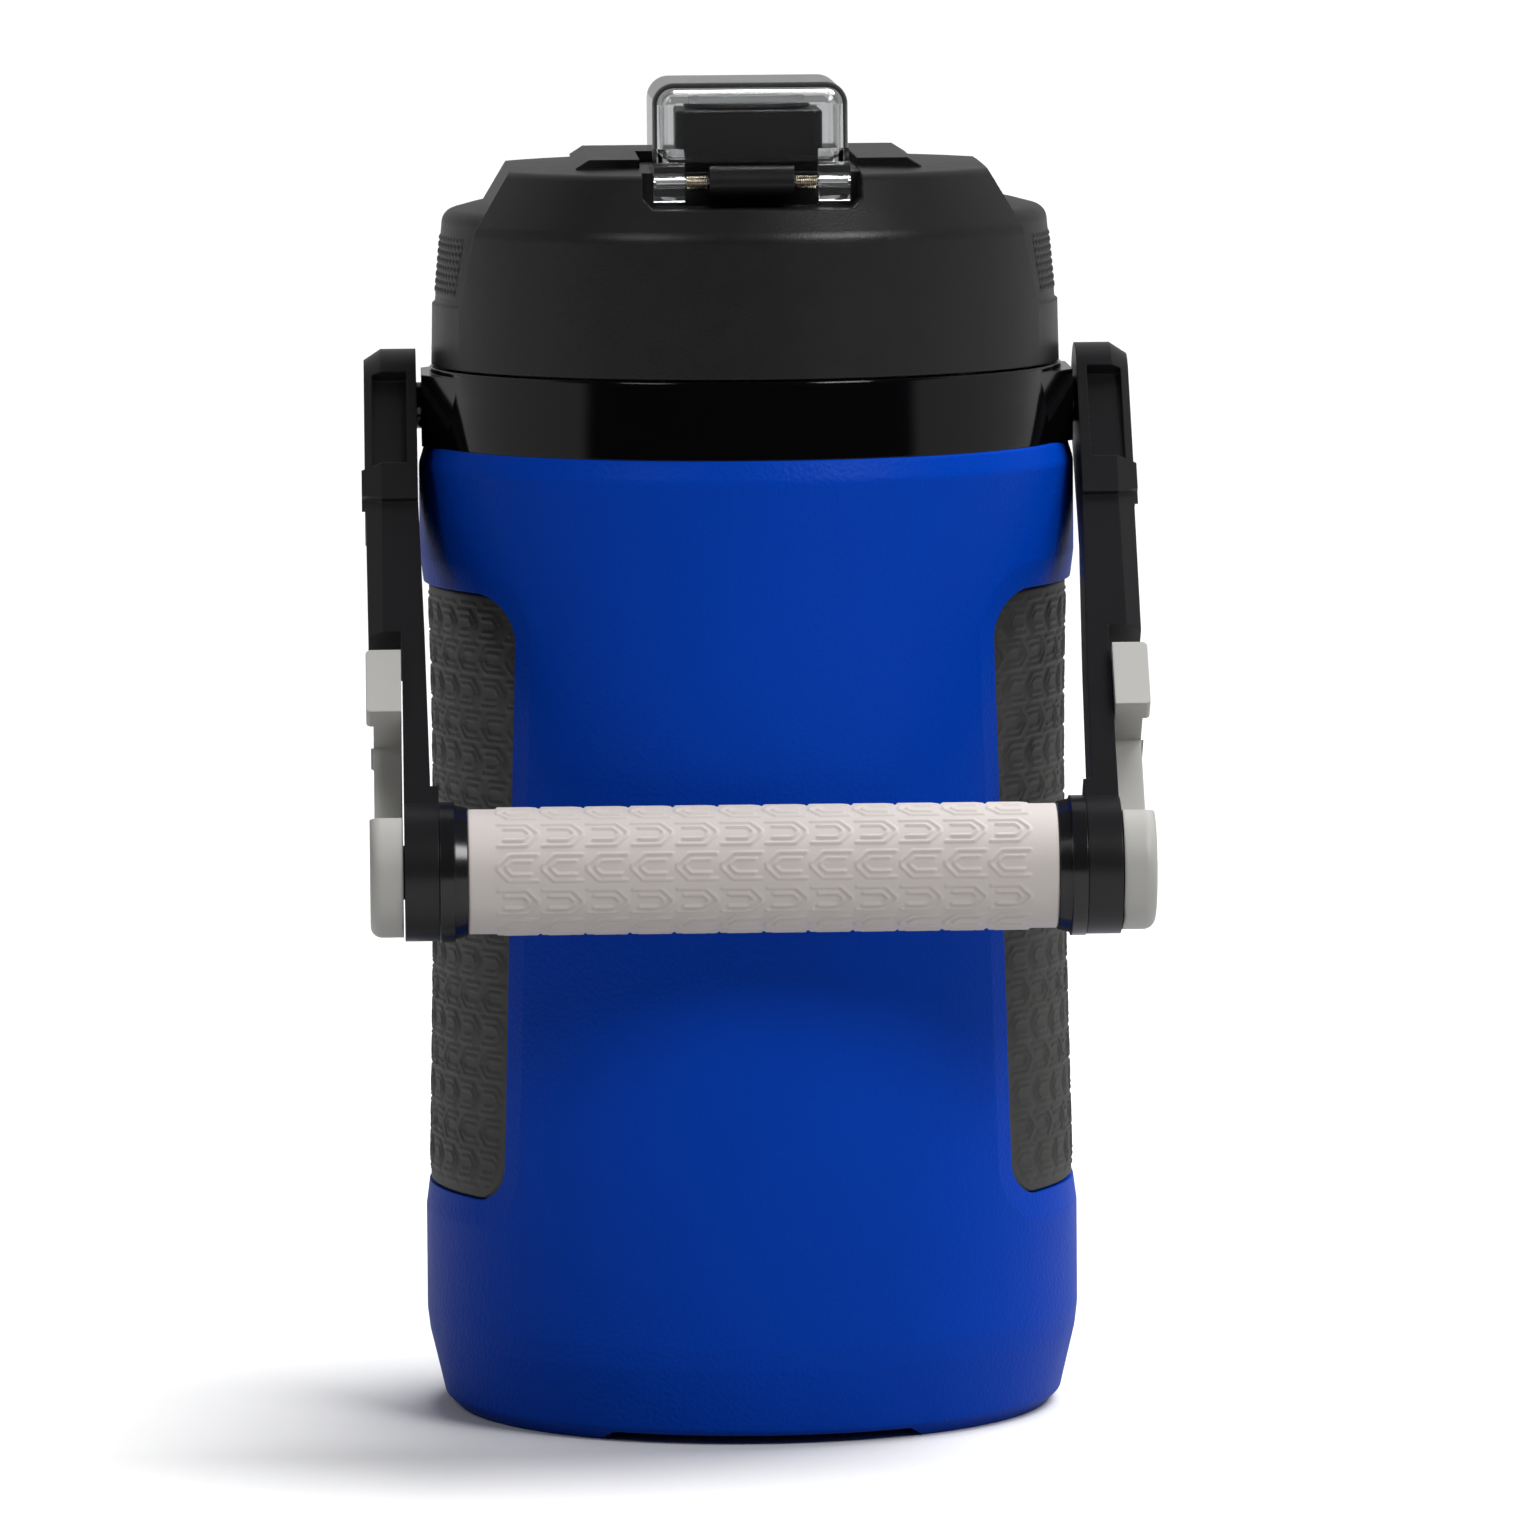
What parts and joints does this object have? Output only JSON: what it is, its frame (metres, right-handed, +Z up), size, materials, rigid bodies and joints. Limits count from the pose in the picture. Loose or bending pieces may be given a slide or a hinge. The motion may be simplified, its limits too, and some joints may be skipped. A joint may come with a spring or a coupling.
{
  "type": "insulated water jug",
  "caption": "Foam-insulated round water jug with a screw lid, a clear flip-up spout cover, rubber grip panels and a bail handle with swinging hooks.",
  "frame": {"origin": "on the body's axis, at the level of the foot that the jug stands on", "axes": "+Z up along the body, +X to the jug's right, -Y to its front, where the handle rests and the cover is hinged"},
  "size_m": [0.1762, 0.1801, 0.3055],
  "materials": {
    "blue_shell": "moulded, finely textured",
    "white_liner": "smooth, food-safe",
    "foam": "rigid polyurethane foam",
    "panel_rubber": "soft, with a relief pattern",
    "collar_gloss": "high gloss",
    "lid_black": "finely textured",
    "spout_black": "satin",
    "silicone": "translucent silicone",
    "steel": "bright",
    "clear_cover": "clear, polished",
    "arm_black": "satin",
    "grip_silicone": "soft, with a relief pattern",
    "hook_grey": "satin"
  },
  "bodies": {
    "jug": {"outer_shell": "blue_shell", "inner_liner": "white_liner", "foam_insulation": "foam", "base_plug": "blue_shell", "grip_panel_left": "panel_rubber", "grip_panel_right": "panel_rubber", "collar_ring": "collar_gloss", "pivot_washers": "collar_gloss", "pivot_screws": "steel"},
    "gasket": {"lid_gasket": "silicone"},
    "lid": {"lid_shell": "lid_black", "lid_inner": "lid_black", "lid_insulation": "foam", "spout": "spout_black", "hinge_pin": "steel", "cover_springs": "steel", "latch_spring": "steel"},
    "cover": {"spout_cover": "clear_cover", "cover_seal": "panel_rubber"},
    "latch": {"latch_button": "lid_black"},
    "handle": {"handle_arm_left": "arm_black", "handle_arm_right": "arm_black", "pivot_caps": "arm_black", "grip_core": "arm_black", "grip_sleeve": "grip_silicone", "grip_rings": "arm_black", "grip_screws": "steel"},
    "hook_left": {"hook_left": "hook_grey"},
    "hook_right": {"hook_right": "hook_grey"}
  },
  "joints": [
    {"name": "lid_lift", "type": "slide", "parent": "jug", "child": "gasket", "axis": [0, 0, 1], "range_m": [0, 0.0121]},
    {"name": "lid_turn", "type": "hinge", "parent": "gasket", "child": "lid", "pos_m": [0, 0, 0.25], "axis": [0, 0, 1], "range_deg": [0, 540]},
    {"name": "cover_flip", "type": "hinge", "parent": "lid", "child": "cover", "pos_m": [0, -0.054, 0.2835], "axis": [1, 0, 0], "range_deg": [0, 115]},
    {"name": "latch_press", "type": "slide", "parent": "lid", "child": "latch", "axis": [0, -1, 0], "range_m": [0, 0.003], "stiffness_N_per_m": 400, "springref_m": -0.002, "deforming": ["latch_spring"]},
    {"name": "handle_swing", "type": "hinge", "parent": "jug", "child": "handle", "pos_m": [0, 0, 0.2307], "axis": [-1, 0, 0], "range_deg": [0, 275.2]},
    {"name": "hook_left_swing", "type": "hinge", "parent": "handle", "child": "hook_left", "pos_m": [0, -0.08948, 0.13271], "axis": [1, 0, 0], "range_deg": [0, 180]},
    {"name": "hook_right_swing", "type": "hinge", "parent": "handle", "child": "hook_right", "pos_m": [0, -0.08948, 0.13271], "axis": [1, 0, 0], "range_deg": [0, 180]}
  ],
  "couplings": [
    {"joint": "lid_lift", "follows": "lid_turn", "m_per_rad": 0.0012732}
  ]
}
